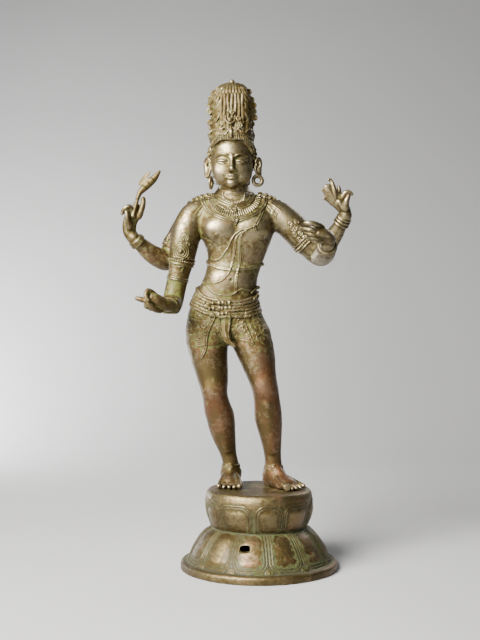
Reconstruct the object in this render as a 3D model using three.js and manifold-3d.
import * as THREE from 'three';
import { mergeVertices } from 'three/addons/utils/BufferGeometryUtils.js';
import Module from 'manifold-3d';

// Standing four-armed figure of a deity, cast in bronze, on a hollow lotus pedestal.
// Millimetres, +Z up, front towards -Y. The pieces are made round the pedestal's axis, and the
// whole is then set with the middle of its overall box over the origin, on the ground.

const wasm = await Module();
wasm.setup();

// Driving dimensions of the pedestal
const pedestalHeight = 123;
const rimRadius = 122.5;
const rimHeight = 10;
const rimLedge = 5;
const rimRound = 2.5;
const bellRadius = 111;
const bellFoot = 17;
const bellFullness = 0.57;
const bellSteps = 4;
const neckOverlap = 2;
const neckRadius = 73.6;
const neckLevel = 64.5;
const drumRadius = 83.6;
const drumBulge = 0.7;
const drumFullness = 0.6;
const drumShoulder = 0.45;
const drumParts = [0.08, 0.45, 1];
const seatRadius = 72;
const seatDrop = 3;
const pedestalWall = 7;
const rimSeatWidth = 15;
const hollowInset = 4;
const hollowShoulder = 18;
const hollowRound = 4;
const bellPetals = 12;
const drumPetals = 10;
const petalRise = 3.5;
const petalTip = 0.45;
const bellPetalTurn = -98;
const drumPetalTurn = -82;
const pinHoleWidth = 15;
const pinHoleHeight = 11;
const pinHoleLevel = 48;
const pinHoleTurn = -104;

// Driving dimensions of the figure
const figureHeight = 637;
const torsoSides = 16;
const legSides = 8;
const armSides = 6;
const palmSides = 6;
const fingerSides = 5;
const ballSides = 6;
const ballRows = 3;
const ringSides = 9;
const ringFacets = 4;
const crownLocks = 14;
const petalSides = 4;
const hollowSides = 16;
const lockDepth = 0.05;
const strapSink = 3;
const strapCrown = 0.6;
const bandEdge = 0.12;

// The figure's pose and carving are given in thousandths of its height.
const share = figureHeight / 1000;
const degree = Math.PI / 180;

// Trunk: height, middle, half width, front, back
const trunk = [
  [350, -74, 84, -18, 74],
  [376, -75, 101, -32, 88],
  [405, -82, 95, -36, 93],
  [435, -84, 87, -36, 89],
  [462, -83, 79, -34, 80],
  [484, -78, 73, -31, 70],
  [508, -71, 67, -29, 61],
  [532, -64, 66, -30, 58],
  [554, -58, 68, -33, 60],
  [580, -54, 74, -38, 66],
  [606, -54, 85, -44, 72],
  [633, -54, 93, -48, 77],
  [660, -55, 98, -44, 76],
  [682, -57, 92, -32, 70],
  [700, -60, 66, -19, 60],
  [714, -62, 44, -12, 54],
  [748, -63, 36, -13, 56],
];

// Legs, from the ankle up
const rightLeg = [
  [10, -68, 24, 30, 76],
  [32, -68, 23, 31, 78],
  [78, -76, 22, 27, 69],
  [107, -84, 27, 16, 70],
  [162, -94, 36, -6, 73],
  [186, -99, 37, -13, 66],
  [206, -104, 33, -19, 55],
  [259, -113, 37, -25, 54],
  [322, -124, 47, -31, 73],
  [356, -127, 51, -32, 82],
  [358, -127, 54, -35, 85],
  [395, -125, 51, -30, 86],
];
const leftLeg = [
  [10, 39, 26, 6, 58],
  [32, 38, 26, 6, 57],
  [54, 36, 22, 6, 52],
  [79, 34, 22, 4, 47],
  [109, 31, 26, -5, 50],
  [169, 23, 35, -22, 50],
  [199, 21, 34, -29, 42],
  [240, 15, 33, -39, 33],
  [262, 9, 35, -40, 38],
  [322, -7, 47, -43, 64],
  [354, -17, 51, -40, 76],
  [356, -17, 54, -43, 79],
  [390, -26, 53, -36, 84],
];

// Arms, from the shoulder to the wrist: point and radius
const frontRightArm = [
  [-124, 20, 680, 30],
  [-160, 16, 670, 35],
  [-177, 13, 641, 38],
  [-186, 13, 607, 37],
  [-191, 13, 570, 33],
  [-197, 14, 523, 27],
  [-203, 15, 488, 26],
  [-206, 8, 456, 26],
  [-207, -19, 445, 24],
  [-210, -50, 443, 21],
  [-212, -83, 443, 18],
  [-214, -129, 445, 14.5],
];
const rearRightArm = [
  [-130, 50, 674, 28],
  [-172, 64, 655, 34],
  [-203, 74, 611, 33],
  [-219, 73, 577, 30],
  [-234, 58, 560, 27],
  [-263, 38, 574, 24],
  [-286, 22, 592, 19],
  [-308, 8, 612, 15],
];
const frontLeftArm = [
  [6, 20, 680, 30],
  [50, 16, 667, 37],
  [79, 14, 643, 38],
  [104, 14, 617, 37],
  [128, 17, 593, 34],
  [150, 17, 575, 32],
  [158, -10, 573, 29],
  [160, -44, 578, 25],
  [160, -72, 584, 21],
  [159, -98, 589, 17],
];
const rearLeftArm = [
  [10, 50, 672, 28],
  [66, 64, 655, 33],
  [118, 74, 619, 32],
  [148, 72, 596, 28],
  [168, 62, 594, 24],
  [188, 43, 624, 19],
  [203, 22, 648, 16],
  [214, 8, 670, 14],
];

// Palms: point, half width, half thickness; then the fingers: point and radius
const axeHand = {
  facing: [0.2, -1, 0.1],
  palm: [[-305, 12, 606, 15, 14], [-318, 8, 626, 17, 14], [-317, 2, 650, 18, 12], [-303, -1, 670, 17, 10]],
  fingers: [
    [[-295, -3, 666, 7], [-287, -6, 686, 6.4], [-283, -5, 703, 6], [-285, -3, 709, 5]],
    [[-301, 3, 668, 7], [-294, 3, 690, 6.2], [-293, 5, 704, 5.4]],
    [[-309, -4, 669, 6.4], [-313, -13, 686, 6.2], [-324, -16, 684, 5.8], [-333, -13, 674, 5]],
    [[-316, 3, 663, 6], [-322, 3, 680, 5.6], [-332, 2, 677, 5.2], [-336, 0, 671, 4.4]],
    [[-317, -8, 640, 8], [-319, -17, 661, 6.4], [-322, -19, 673, 5.4]],
  ],
};
const openHand = {
  facing: [0, -1, 0],
  palm: [[213, 8, 664, 14, 13], [210, 5, 681, 16, 13], [200, 2, 697, 18, 12], [188, -1, 707, 18, 10]],
  fingers: [
    [[184, -4, 708, 6.8], [182, -8, 727, 6], [179, -8, 742, 5.2], [172, -6, 753, 4.2]],
    [[182, -1, 704, 9], [170, -3, 718, 8.4], [162, -5, 725, 6.6], [156, -6, 730, 4.6]],
    [[195, 3, 704, 7], [199, 5, 722, 6.2], [198, 5, 735, 5]],
    [[202, 0, 708, 7.4], [211, -5, 722, 6], [223, -6, 722, 5.2], [229, -6, 718, 4.4]],
    [[209, -6, 682, 8], [213, -14, 701, 6.4], [219, -14, 713, 5]],
  ],
};
const pinchHand = {
  facing: [0.4, -0.6, 0.7],
  palm: [[-214, -120, 445, 15, 14], [-224, -137, 448, 17, 14], [-237, -149, 456, 17, 13], [-250, -155, 464, 14, 11]],
  fingers: [
    [[-246, -152, 470, 8], [-257, -163, 477, 6.6], [-261, -170, 466, 5.8], [-256, -171, 455, 4.8]],
    [[-252, -156, 465, 7], [-263, -163, 462, 5.8], [-273, -165, 459, 5.2], [-283, -163, 460, 4.2]],
    [[-249, -153, 457, 7], [-259, -162, 449, 6], [-262, -161, 440, 5.6], [-255, -155, 438, 4.8]],
    [[-242, -147, 449, 7], [-252, -154, 441, 5.4], [-253, -151, 435, 4.6]],
    [[-230, -138, 440, 8], [-244, -158, 441, 6.4], [-256, -168, 449, 5.6], [-263, -171, 454, 4.6]],
  ],
};
const restHand = {
  facing: [0, -0.3, 1],
  palm: [[159, -88, 587, 17, 16], [159, -111, 600, 19, 15], [148, -126, 612, 19, 14], [133, -131, 613, 16, 12]],
  fingers: [
    [[143, -126, 623, 8], [128, -143, 627, 6.4], [112, -144, 629, 5.6], [105, -140, 631, 4.8]],
    [[136, -134, 617, 7.6], [118, -143, 618, 6.2], [104, -136, 621, 5.4], [98, -130, 623, 4.4]],
    [[136, -132, 608, 7.4], [118, -138, 609, 6.2], [106, -128, 612, 5.2]],
    [[138, -127, 601, 7], [122, -132, 601, 5.8], [111, -122, 604, 4.8]],
    [[143, -119, 595, 6.6], [128, -124, 594, 5.2], [117, -116, 598, 4.4]],
  ],
};

// Head and crown: height, middle, half width, front, back
const skull = [
  [729, -66, 13, -24, 8],
  [736, -66, 24, -31, 22],
  [750, -66, 37, -35, 42],
  [770, -66, 46, -36, 55],
  [796, -66, 51, -33, 62],
  [808, -66, 52, -38, 64],
  [850, -66, 53, -38, 64],
];
const crown = [
  [846, -67, 55, -39, 64],
  [850, -67, 60, -45, 66],
  [864, -67, 60, -45, 66],
  [872, -66, 47, -32, 63],
  [887, -66, 51, -32, 62],
  [899, -66, 47, -32, 62],
  [911, -66, 52, -32, 62],
  [923, -66, 48, -32, 62],
  [935, -66, 51, -32, 62],
  [956, -66, 46, -29, 60],
  [970, -66, 38, -20, 51],
  [982, -67, 32, -14, 46],
  [993, -67, 18, 0, 32],
];
const diademRow = 2;
const tiedRow = 10;
const leafTall = 7;
const faceSides = 12;

// Lengths in the face's own proportions: chin to hairline is three equal parts.
const chinLevel = 731;
const facePart = 38;
const noseFoot = chinLevel + facePart;
const browLevel = noseFoot + facePart;
const mouthLevel = chinLevel + facePart * 0.66;
const eyeLevel = browLevel - facePart * 0.24;
const eyeSpacing = 21;
const faceFront = -35;
const headMiddle = -66;

function at(x, y, z) {
  return new THREE.Vector3(x * share, y * share, pedestalHeight + z * share);
}

// Joins rings of corners, all with the same count, into one skin with closed ends.
function skin(rings) {
  const count = rings[0].length;
  const corners = rings.flat();
  const faces = [];
  for (let step = 0; step < rings.length - 1; step += 1) {
    for (let side = 0; side < count; side += 1) {
      const a = step * count + side;
      const b = step * count + ((side + 1) % count);
      faces.push(a, b, b + count, a, b + count, a + count);
    }
  }
  for (const [ring, flip] of [[0, true], [rings.length - 1, false]]) {
    const middle = new THREE.Vector3();
    rings[ring].forEach((corner) => middle.addScaledVector(corner, 1 / count));
    corners.push(middle);
    const centre = corners.length - 1;
    for (let side = 0; side < count; side += 1) {
      const a = ring * count + side;
      const b = ring * count + ((side + 1) % count);
      faces.push(...(flip ? [b, a, centre] : [a, b, centre]));
    }
  }
  const geometry = new THREE.BufferGeometry().setFromPoints(corners);
  geometry.setIndex(faces);
  return solid(geometry);
}

// Turns a closed geometry into a solid with its faces pointing out.
function solid(geometry) {
  geometry.deleteAttribute('normal');
  geometry.deleteAttribute('uv');
  const merged = mergeVertices(geometry, 1e-4);
  const index = Uint32Array.from(merged.index.array);
  const place = merged.attributes.position;
  const a = new THREE.Vector3();
  const b = new THREE.Vector3();
  const c = new THREE.Vector3();
  let volume = 0;
  for (let face = 0; face < index.length; face += 3) {
    a.fromBufferAttribute(place, index[face]);
    b.fromBufferAttribute(place, index[face + 1]);
    c.fromBufferAttribute(place, index[face + 2]);
    volume += a.dot(b.cross(c));
  }
  if (volume < 0) {
    index.reverse();
  }
  const mesh = new wasm.Mesh({
    numProp: 3,
    vertProperties: Float32Array.from(place.array),
    triVerts: index,
  });
  return new wasm.Manifold(mesh);
}

function unite(pieces) {
  return pieces.reduce((whole, piece) => whole.add(piece));
}

function geometryOf(shape) {
  const mesh = shape.getMesh();
  const geometry = new THREE.BufferGeometry();
  geometry.setAttribute('position', new THREE.BufferAttribute(mesh.vertProperties, 3));
  geometry.setIndex(new THREE.BufferAttribute(mesh.triVerts, 1));
  return geometry;
}

// A power of a cosine or sine that keeps its sign, for sections between round and square.
function rounded(value, power) {
  return Math.sign(value) * Math.abs(value) ** power;
}

function between(stations, level) {
  const last = stations.length - 1;
  let low = 0;
  while (low < last - 1 && stations[low + 1][0] < level) {
    low += 1;
  }
  const part = THREE.MathUtils.clamp(
    (level - stations[low][0]) / (stations[low + 1][0] - stations[low][0]), 0, 1);
  return stations[low].map((value, column) => THREE.MathUtils.lerp(value, stations[low + 1][column], part));
}

// A point on a level section; angle 0 looks to +X and 90 degrees to the back.
function sectionPoint(station, angle, squareness = 0.9, grow = 0) {
  const [level, middle, half, front, back] = station;
  const depth = (back - front) / 2 + grow;
  const x = middle + (half + grow) * rounded(Math.cos(angle), squareness);
  const y = (front + back) / 2 + depth * rounded(Math.sin(angle), squareness);
  return [x, y, level];
}

function circle(sides) {
  return Array.from({ length: sides }, (_, side) => (side / sides) * 2 * Math.PI);
}

function levelled(stations, sides, squareness = 0.9) {
  return skin(stations.map((station) => circle(sides).map(
    (angle) => at(...sectionPoint(station, angle, squareness)))));
}

// Soft swellings of the trunk: chest, belly, shoulder blades and seat.
const swellings = [
  { x: -87, z: 634, wide: 30, tall: 24, rise: 7, side: -1 },
  { x: -21, z: 636, wide: 30, tall: 24, rise: 7, side: -1 },
  { x: -68, z: 505, wide: 36, tall: 26, rise: 6, side: -1 },
  { x: -88, z: 645, wide: 30, tall: 32, rise: 6, side: 1 },
  { x: -24, z: 645, wide: 30, tall: 32, rise: 6, side: 1 },
  { x: -122, z: 392, wide: 36, tall: 34, rise: 15, side: 1 },
  { x: -36, z: 388, wide: 36, tall: 34, rise: 15, side: 1 },
];

function trunkPoint(level, angle, grow = 0) {
  const [x, y, z] = sectionPoint(between(trunk, level), angle, 0.86, grow);
  let shift = 0;
  for (const swelling of swellings) {
    const facing = Math.max(0, swelling.side * Math.sin(angle));
    const across = (x - swelling.x) / swelling.wide;
    const up = (z - swelling.z) / swelling.tall;
    shift += swelling.side * swelling.rise * facing * Math.exp(-across * across - up * up);
  }
  return [x, y + shift, z];
}

function trunkAngle(x, level) {
  const [, middle, half] = between(trunk, level);
  const reach = THREE.MathUtils.clamp((x - middle) / half, -0.98, 0.98);
  return -Math.acos(rounded(reach, 1 / 0.86));
}

// The point of the trunk's front straight behind a place seen from the front.
function chestPoint([x, z]) {
  return at(...trunkPoint(z, trunkAngle(x, z)));
}

// A tapering strap along a path, raised from a surface; width and rise may change along it.
function strap(path, outward, width, rise) {
  const rings = path.map((point, index) => {
    const before = path[Math.max(index - 1, 0)];
    const after = path[Math.min(index + 1, path.length - 1)];
    const along = after.clone().sub(before).normalize();
    const out = outward[index].clone().normalize();
    const across = along.clone().cross(out).normalize();
    const half = (Array.isArray(width) ? width[index] : width) * share / 2;
    const section = [[-half, -strapSink * share], [-half * strapCrown, rise * share],
      [half * strapCrown, rise * share], [half, -strapSink * share]];
    return section.map(([side, up]) => point.clone().addScaledVector(across, side).addScaledVector(out, up));
  });
  return skin(rings);
}

function outFrom(point, axisX, axisY) {
  return new THREE.Vector3(point.x - axisX * share, point.y - axisY * share, 0);
}

// A strap lying on the front of the trunk through places seen from the front.
function frontStrap(places, width, rise) {
  const path = places.map(chestPoint);
  const outward = path.map((point, index) => {
    const [, middle] = between(trunk, places[index][1]);
    return outFrom(point, middle, 45);
  });
  return strap(path, outward, width, rise);
}

// Rolls and bands raised in the trunk's own skin: height at the sides, in front and behind
const hipBelts = [
  { side: 460, front: 424, back: 468, width: 12, rise: 6 },
  { side: 474, front: 438, back: 482, width: 12, rise: 7 },
  { side: 487, front: 452, back: 495, width: 12, rise: 5 },
];
const waistband = { side: 549, front: 533, back: 549, width: 9, rise: 4 };
const collars = [
  { side: 694, front: 651, back: 699, width: 9, rise: 3.5 },
  { side: 707, front: 672, back: 710, width: 9, rise: 3.5 },
];
const shoulderLine = { side: 668, front: 630, back: 664 };
const beltTilt = 7;
const rollValley = 0.25;

function bandHeight(band, angle, tilt = 0) {
  const facing = Math.sin(angle);
  const drop = facing < 0 ? band.side - band.front : band.side - band.back;
  return band.side - tilt * Math.cos(angle) - drop * Math.abs(facing) ** 1.5;
}

function trunkRing(levelAt, grow) {
  return circle(torsoSides).map((angle) => at(...trunkPoint(levelAt(angle), angle, grow)));
}

function bandRings(band, tilt = 0) {
  return [[-0.5, 0], [0, band.rise], [0.5, 0]].map(
    ([part, rise]) => trunkRing((angle) => bandHeight(band, angle, tilt) + part * band.width, rise));
}

// The hip belts lie close together, so they share the valleys between them.
function beltRings() {
  const rings = [];
  hipBelts.forEach((belt, index) => {
    const [low, peak] = bandRings(belt, beltTilt);
    const valley = trunkRing((angle) => bandHeight(belt, angle, beltTilt) - belt.width * 0.5,
      belt.rise * rollValley);
    rings.push(index === 0 ? low : valley, peak);
  });
  rings.push(bandRings(hipBelts[hipBelts.length - 1], beltTilt)[2]);
  return rings;
}

// The trunk from the crotch to the neck, with its belts and collars.
function body() {
  const level = (height) => trunkRing(() => height, 0);
  return skin([
    ...[350, 376, 400].map(level),
    ...beltRings(),
    level(510),
    ...bandRings(waistband),
    ...[580, 606].map(level),
    trunkRing((angle) => bandHeight(shoulderLine, angle), 0),
    ...collars.flatMap((collar) => bandRings(collar)),
    ...[724, 748].map(level),
  ]);
}

// Round rings across a path of points, for arms, fingers and tassels.
function framed(stations, facing) {
  const points = stations.map(([x, y, z]) => at(x, y, z));
  const side = new THREE.Vector3();
  return points.map((point, index) => {
    const before = points[Math.max(index - 1, 0)];
    const after = points[Math.min(index + 1, points.length - 1)];
    const along = after.clone().sub(before).normalize();
    const rough = facing ? new THREE.Vector3(...facing) : side.clone();
    if (rough.lengthSq() === 0) {
      rough.set(0.31, -0.9, 0.17);
    }
    const up = rough.addScaledVector(along, -rough.dot(along)).normalize();
    side.copy(up);
    return { point, up, across: along.clone().cross(up) };
  });
}

function limb(stations, sides, facing) {
  return skin(framed(stations, facing).map((frame, index) => {
    const [, , , half, thick = half] = stations[index];
    return circle(sides).map((angle) => frame.point.clone()
      .addScaledVector(frame.across, half * share * Math.cos(angle))
      .addScaledVector(frame.up, thick * share * Math.sin(angle)));
  }));
}

// Adds raised bands to a limb's stations; a band's place counts the stations from the first.
function banded(stations, bands) {
  const marks = [0];
  for (let index = 1; index < stations.length; index += 1) {
    const step = Math.hypot(...[0, 1, 2].map((axis) => stations[index][axis] - stations[index - 1][axis]));
    marks.push(marks[index - 1] + step);
  }
  const stationAt = (mark) => {
    let low = 0;
    while (low < stations.length - 2 && marks[low + 1] < mark) {
      low += 1;
    }
    const part = (mark - marks[low]) / (marks[low + 1] - marks[low]);
    return stations[low].map((value, column) => THREE.MathUtils.lerp(value, stations[low + 1][column], part));
  };
  let rows = stations.map((station, index) => ({ mark: marks[index], station }));
  for (const { place, width, rise } of bands) {
    const low = Math.floor(place);
    const middle = THREE.MathUtils.lerp(marks[low], marks[low + 1], place - low);
    rows = rows.filter(({ mark }) => Math.abs(mark - middle) > width * 0.5);
    for (const [part, up] of [[-0.5, 0], [-0.5 + bandEdge, rise], [0.5 - bandEdge, rise], [0.5, 0]]) {
      const station = stationAt(middle + part * width);
      station[3] += up;
      rows.push({ mark: middle + part * width, station });
    }
  }
  return rows.sort((one, other) => one.mark - other.mark).map(({ station }) => station);
}

function ball(x, y, z, radius, tall, deep) {
  const geometry = new THREE.SphereGeometry(1, ballSides, ballRows);
  geometry.rotateX(Math.PI / 2);
  geometry.scale(radius * share, deep * share, tall * share);
  const centre = at(x, y, z);
  geometry.translate(centre.x, centre.y, centre.z);
  return solid(geometry);
}

function hoop(x, y, z, radius, thick, turn) {
  const geometry = new THREE.TorusGeometry(radius * share, thick * share, ringFacets, ringSides);
  geometry.rotateX(Math.PI / 2);
  geometry.rotateZ(turn * degree);
  const centre = at(x, y, z);
  geometry.translate(centre.x, centre.y, centre.z);
  return solid(geometry);
}

function hand({ facing, palm, fingers }) {
  return unite([
    limb(palm, palmSides, facing),
    ...fingers.map((finger) => limb(finger, fingerSides)),
  ]);
}

// A foot with five toes; turn 0 points to the front and positive turns to +X.
const footLength = 128;
const footWidth = 54;
function foot(ankleX, ankleY, turn, inner) {
  const forward = new THREE.Vector3(Math.sin(turn * degree), -Math.cos(turn * degree), 0);
  const outer = new THREE.Vector3(Math.cos(turn * degree), Math.sin(turn * degree), 0).multiplyScalar(-inner);
  const place = (ahead, aside, up) => {
    const spot = forward.clone().multiplyScalar(ahead).addScaledVector(outer, aside);
    return at(ankleX + spot.x, ankleY + spot.y, up);
  };
  const arch = [
    [-0.26, 0.16, 16], [-0.2, 0.29, 30], [0.1, 0.37, 46], [0.36, 0.45, 30], [0.58, 0.48, 15],
  ];
  const rings = arch.map(([ahead, half, tall]) => Array.from({ length: 7 }, (_, step) => {
    const angle = (step / 6) * Math.PI;
    return place(ahead * footLength, half * footWidth * Math.cos(angle), tall * Math.sin(angle));
  }));
  const toes = [0, 1, 2, 3, 4].map((toe) => {
    const aside = (toe / 4 - 0.5) * footWidth * 0.76;
    const thick = toe === 0 ? 7.6 : 5.8 - toe * 0.3;
    const reach = footLength * (0.72 - 0.035 * toe - (toe === 0 ? 0.01 : 0));
    const stations = [[0.5 * footLength, 1], [reach, 1], [reach + thick, 0.6]].map(([ahead, part]) => {
      const spot = forward.clone().multiplyScalar(ahead).addScaledVector(outer, aside);
      return [ankleX + spot.x, ankleY + spot.y, thick, thick * part];
    });
    return limb(stations, fingerSides, [0, 0, 1]);
  });
  return unite([skin(rings), ...toes]);
}

function flatPlate(outline, thickness, place) {
  const shape = new THREE.Shape(outline.map(([x, z]) => new THREE.Vector2(x * share, z * share)));
  const geometry = new THREE.ExtrudeGeometry(shape, { depth: thickness * share, bevelEnabled: false });
  geometry.translate(0, 0, -thickness * share / 2);
  geometry.rotateX(Math.PI / 2);
  const centre = at(...place);
  geometry.translate(centre.x, centre.y, centre.z);
  return solid(geometry);
}

function face() {
  const nose = [
    [headMiddle, faceFront + 3, browLevel - 4, 4, 6],
    [headMiddle, faceFront - 3, noseFoot + facePart * 0.45, 5, 7],
    [headMiddle, faceFront - 8, noseFoot + 4, 8, 7],
    [headMiddle, faceFront - 4, noseFoot, 5, 4],
  ];
  return [
    limb(nose, 5, [0, -1, 0.2]),
    ball(headMiddle - eyeSpacing, faceFront + 6, eyeLevel - 2, 11, 5.5, 8),
    ball(headMiddle + eyeSpacing, faceFront + 6, eyeLevel - 2, 11, 5.5, 8),
    ball(headMiddle, faceFront + 1, mouthLevel + 3, 14, 3.4, 6),
    ball(headMiddle, faceFront + 1, mouthLevel - 4, 11, 4, 6),
    ball(headMiddle, faceFront + 7, chinLevel + 9, 12, 9, 12),
  ];
}

function earAndRing(side, ringTurn) {
  const x = headMiddle + side * 54;
  const ear = [[x, 12, 822, 5, 8], [x + side * 3, 12, 806, 6, 11], [x + side * 4, 11, 785, 5, 8],
    [x + side * 5, 10, 768, 3, 5]];
  return [limb(ear, 5, [0, -1, 0]), hoop(x + side * 6, 8, 754, 11, 4, ringTurn)];
}

// The crown of upright locks: lobed sections, leaf points on the diadem and curls at the sides.
function crownSkin() {
  return skin(crown.map(([level, middle, half, front, back], row) => {
    const plain = row <= diademRow || row === tiedRow || row === crown.length - 1;
    return circle(crownLocks * 2).map((angle, side) => {
      const lobe = plain ? 0 : (side % 2 ? 1 : -1) * lockDepth;
      const leaf = row === diademRow && side % 4 === 0 ? leafTall : 0;
      const depth = (back - front) / 2;
      return at(middle + half * (1 + lobe) * Math.cos(angle),
        (front + back) / 2 + depth * (1 + lobe) * Math.sin(angle), level + leaf);
    });
  }));
}

// Ornaments of the crown: place, half width, half height and half depth
const frontLeaf = [[headMiddle, -45, 856, 10, 5], [headMiddle, -46, 872, 11, 5], [headMiddle, -40, 894, 3, 3]];
const crescentKnob = [-83, -32, 908, 7, 9, 7];
const flowerKnob = [-51, -32, 906, 8, 8, 7];
const finial = [headMiddle, 16, 994, 8, 7, 8];
const napeRoll = [headMiddle, 54, 822, 36, 24, 14];

function head() {
  return [
    levelled(skull, faceSides),
    crownSkin(),
    limb(frontLeaf, 4, [0, -1, 0]),
    ...[crescentKnob, flowerKnob, finial, napeRoll].map((ornament) => ball(...ornament)),
    ...face(),
    ...earAndRing(-1, 80),
    ...earAndRing(1, 8),
  ];
}

// Sacred thread in three strands, with the pendant of the collar and the thread's leaf end
function jewellery() {
  const threads = [
    [[-10, 640], [-48, 632], [-66, 606], [-84, 572], [-104, 553], [-122, 553]],
    [[-14, 640], [-55, 620], [-64, 566], [-74, 526], [-96, 504], [-128, 505]],
    [[-20, 642], [-47, 612], [-49, 558], [-58, 484]],
  ].map((places) => frontStrap(places, 6, 2.5));
  return [
    ...threads,
    frontStrap([[-57, 652], [-57, 644], [-57, 634]], [10, 9, 3], 6),
    frontStrap([[-16, 652], [-12, 642], [-10, 630]], [8, 10, 2], 6),
  ];
}

// Knots tied in the belts in front, and a bow at each hip.
function knots() {
  const pairs = hipBelts.flatMap((belt) => [[belt, -99, 8], [belt, -81, 8]]);
  const bows = [[hipBelts[2], 0, 11], [hipBelts[1], 180, 11]];
  return [...pairs, ...bows].map(([belt, turn, wide]) => {
    const angle = turn * degree;
    const [x, y, z] = trunkPoint(bandHeight(belt, angle, beltTilt), angle);
    return ball(x, y, z, wide, wide * 0.8, 9);
  });
}

// Cloth ends and tassels that hang over the thighs.
function drapery() {
  const thigh = (leg, places, width, rise) => {
    const path = places.map(([x, z]) => {
      const [, middle, half, front, back] = between(leg, z);
      const reach = THREE.MathUtils.clamp((x - middle) / half, -0.95, 0.95);
      const depth = (back - front) / 2;
      return at(x, (front + back) / 2 - depth * Math.sqrt(1 - reach * reach), z);
    });
    const outward = path.map((point, index) => outFrom(point, between(leg, places[index][1])[1], 30));
    return strap(path, outward, width, rise);
  };
  return [
    thigh(rightLeg, [[-88, 425], [-98, 395], [-106, 358], [-116, 320]], [34, 34, 24, 5], 5),
    thigh(rightLeg, [[-126, 412], [-136, 385], [-138, 362]], [30, 26, 20], 4),
    thigh(leftLeg, [[-22, 425], [-18, 400], [-16, 362]], [7, 10, 20], 6),
    thigh(leftLeg, [[6, 420], [10, 392], [8, 362]], [28, 26, 22], 3.5),
    frontStrap([[-70, 426], [-70, 400], [-68, 376], [-66, 356]], [18, 20, 17, 14], 7),
    limb([[-68, -30, 372, 8, 5], [-60, -34, 360, 8, 5], [-50, -34, 357, 6, 4], [-46, -34, 356, 3, 2]],
      palmSides, [0, -1, 0]),
  ];
}

function axe() {
  const shaft = [[-305, -9, 664, 5.8], [-299, -9, 694, 5.2], [-297, -9, 703, 7], [-296, -9, 713, 4.8],
    [-291, -8, 726, 6], [-280, -8, 737, 9, 5.5], [-266, -8, 749, 10, 5.5],
    [-254, -8, 761, 7, 5], [-246, -8, 772, 3, 3]];
  const blade = [[0, 0], [4, 13], [14, 26], [31, 35], [27, 24], [33, 15], [18, 1], [10, -4]];
  return [limb(shaft, 6, [0, -1, 0]), flatPlate(blade, 5, [-296, -8, 740])];
}

// Raised crests that stand on the armlets.
function crests() {
  const crest = (arm, place, facing, rise, drop) => {
    const low = Math.floor(place);
    const part = place - low;
    const [x, y, z, radius] = arm[low].map((value, column) => THREE.MathUtils.lerp(value, arm[low + 1][column], part));
    const out = new THREE.Vector3(...facing).normalize();
    const spot = (reach, up) => [x + out.x * reach, y + out.y * reach, z + up];
    return limb([[...spot(radius - 3, -drop), 9, 5], [...spot(radius - 1, 0), 11, 6],
      [...spot(radius - 3, rise), 3, 3]], 4, facing);
  };
  return [
    crest(frontRightArm, 3.9, [0.1, -1, 0], 30, 26),
    crest(rearRightArm, 2.2, [-0.7, -0.7, 0], 24, 16),
    crest(frontLeftArm, 2.9, [0.1, -1, 0], 26, 24),
    crest(rearLeftArm, 2.2, [0.5, -0.8, 0], 22, 16),
  ];
}

function arms() {
  const band = (place, width, rise) => ({ place, width, rise });
  return [
    limb(banded(frontRightArm, [band(4.4, 16, 4), band(5.6, 7, 3), band(10.5, 16, 4)]), armSides),
    limb(banded(rearRightArm, [band(2.5, 16, 4), band(6.7, 12, 4)]), armSides),
    limb(banded(frontLeftArm, [band(3.6, 16, 4), band(8.4, 18, 4)]), armSides),
    limb(banded(rearLeftArm, [band(2.5, 16, 4), band(6.6, 16, 4)]), armSides),
  ];
}

// A leg between its stations, with a raised anklet.
const ankletLevel = 46;
const ankletWidth = 7;
const ankletRise = 4;
function leg(stations) {
  const rows = stations.filter(([level]) => Math.abs(level - ankletLevel) > ankletWidth * 0.6);
  for (const [part, rise] of [[-0.5, 0], [-0.3, ankletRise], [0.3, ankletRise], [0.5, 0]]) {
    const [level, middle, half, front, back] = between(stations, ankletLevel + part * ankletWidth);
    rows.push([level, middle, half + rise, front - rise, back + rise]);
  }
  return levelled(rows.sort((one, other) => one[0] - other[0]), legSides);
}

// Loose locks on the shoulders and tassels over the upper arms.
function shoulderLocks() {
  const pieces = [];
  for (const [x, side] of [[-132, -1], [14, 1]]) {
    for (const lock of [0, 1]) {
      const reach = x + side * lock * 14;
      const top = 688 - lock * 6;
      pieces.push(limb([[reach - side * 20, 34, top + 14, 7], [reach, 4, top + 4, 7],
        [reach + side * 6, -14, top - 12, 4]], 5));
    }
    pieces.push(limb([[x - side * 4, -14, 676, 5], [x, -24, 652, 7], [x + side * 2, -27, 634, 3]], 4));
  }
  return pieces;
}

function figure() {
  return unite([
    body(),
    leg(rightLeg),
    leg(leftLeg),
    foot(-70, 60, -4, 1),
    foot(36, 26, 47, -1),
    ...arms(),
    hand(axeHand),
    hand(openHand),
    hand(pinchHand),
    hand(restHand),
    ...head(),
    ...jewellery(),
    ...knots(),
    ...drapery(),
    ...axe(),
    ...crests(),
    ball(-68, 26, ankletLevel, 8, 8, 6),
    ball(36, 2, ankletLevel, 8, 8, 6),
    ...shoulderLocks(),
  ]);
}

// One turned body whose radius may swell with the angle, from rows of radius and height.
function turned(rows, sides, swell) {
  return skin(rows.map(([radius, level], row) => circle(sides).map((angle) => {
    const reach = radius + swell(angle, row);
    return new THREE.Vector3(reach * Math.cos(angle), reach * Math.sin(angle), level);
  })));
}

// Rounded petals side by side, from the row of their tips to the row where they end.
function petals(count, turn, tipRow, lastRow) {
  return (angle, row) => {
    const along = (row - tipRow) / (lastRow - tipRow);
    if (along < 0 || along > 1) {
      return 0;
    }
    const place = (angle - turn * degree) / (2 * Math.PI / count);
    const aside = Math.abs(place - Math.round(place)) * 2;
    const reach = petalTip + (1 - petalTip) * Math.min(1, along * 3);
    return petalRise * Math.sqrt(Math.max(0, 1 - (aside / reach) ** 2));
  };
}

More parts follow.
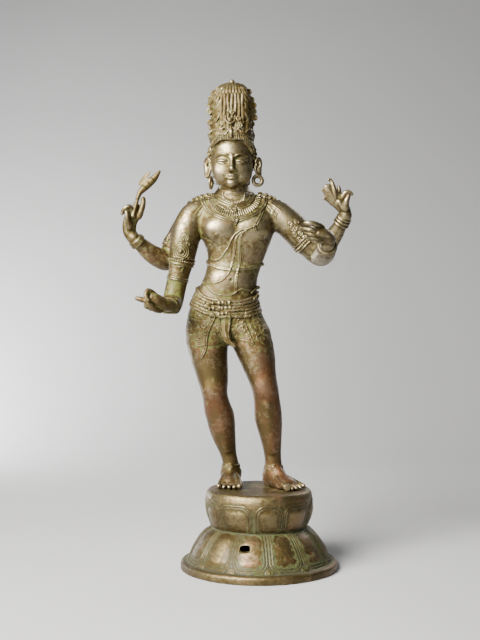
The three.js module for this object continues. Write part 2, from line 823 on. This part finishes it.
function bellRows(inset) {
  const rows = [];
  for (let step = 0; step <= bellSteps; step += 1) {
    const part = step / bellSteps;
    const radius = neckRadius + (bellRadius - petalRise - neckRadius) * (1 - part) ** bellFullness;
    rows.push([radius - inset, bellFoot + (neckLevel - bellFoot) * part]);
  }
  return rows;
}

function drumRows() {
  const bulgeLevel = neckLevel + (pedestalHeight - neckLevel) * drumBulge;
  const reach = drumRadius - petalRise;
  const rows = [[neckRadius, neckLevel - neckOverlap]];
  for (const part of drumParts) {
    rows.push([neckRadius + (reach - neckRadius) * part ** drumFullness,
      neckLevel + (bulgeLevel - neckLevel) * part]);
  }
  rows.push([reach, bulgeLevel + (pedestalHeight - bulgeLevel) * drumShoulder]);
  rows.push([(reach + seatRadius) / 2, pedestalHeight - seatDrop]);
  rows.push([seatRadius, pedestalHeight]);
  return rows;
}

function pedestal() {
  const bell = [[rimRadius, 0], [rimRadius, rimHeight], [rimRadius - rimLedge, rimHeight + rimRound],
    ...bellRows(0), [neckRadius, neckLevel + neckOverlap]];
  const drum = drumRows();
  const hollowTop = pedestalHeight - pedestalWall;
  const hollow = [
    [rimRadius - rimSeatWidth, -rimRound],
    [rimRadius - rimSeatWidth, rimHeight],
    ...bellRows(pedestalWall).filter((_, row) => row % 2 === 0),
    [drumRadius - petalRise - pedestalWall - hollowInset, hollowTop - hollowShoulder],
    [seatRadius - pedestalWall, hollowTop - hollowRound],
    [seatRadius - pedestalWall - hollowRound, hollowTop],
  ];
  const hole = new THREE.BoxGeometry(bellRadius - neckRadius, pinHoleWidth, pinHoleHeight);
  hole.translate((bellRadius + neckRadius) / 2, 0, pinHoleLevel);
  hole.rotateZ(pinHoleTurn * degree);
  return turned(bell, bellPetals * petalSides, petals(bellPetals, bellPetalTurn, 3, 6))
    .add(turned(drum, drumPetals * petalSides, petals(drumPetals, drumPetalTurn, 4, 1)))
    .subtract(turned(hollow, hollowSides, () => 0))
    .subtract(solid(hole));
}

const bronze = new THREE.MeshStandardMaterial({ color: 0x6f6347, roughness: 0.42, metalness: 0.85 });
const greenBronze = new THREE.MeshStandardMaterial({ color: 0x565a3f, roughness: 0.6, metalness: 0.7 });

const statue = new THREE.Group();

const figureMesh = new THREE.Mesh(geometryOf(figure()), bronze);
figureMesh.name = 'shiva_figure';
statue.add(figureMesh);

const pedestalMesh = new THREE.Mesh(geometryOf(pedestal()), greenBronze);
pedestalMesh.name = 'lotus_pedestal';
statue.add(pedestalMesh);

const extent = new THREE.Box3().setFromObject(statue);
const middle = extent.getCenter(new THREE.Vector3());
statue.position.set(-middle.x, -middle.y, 0);

export default statue;
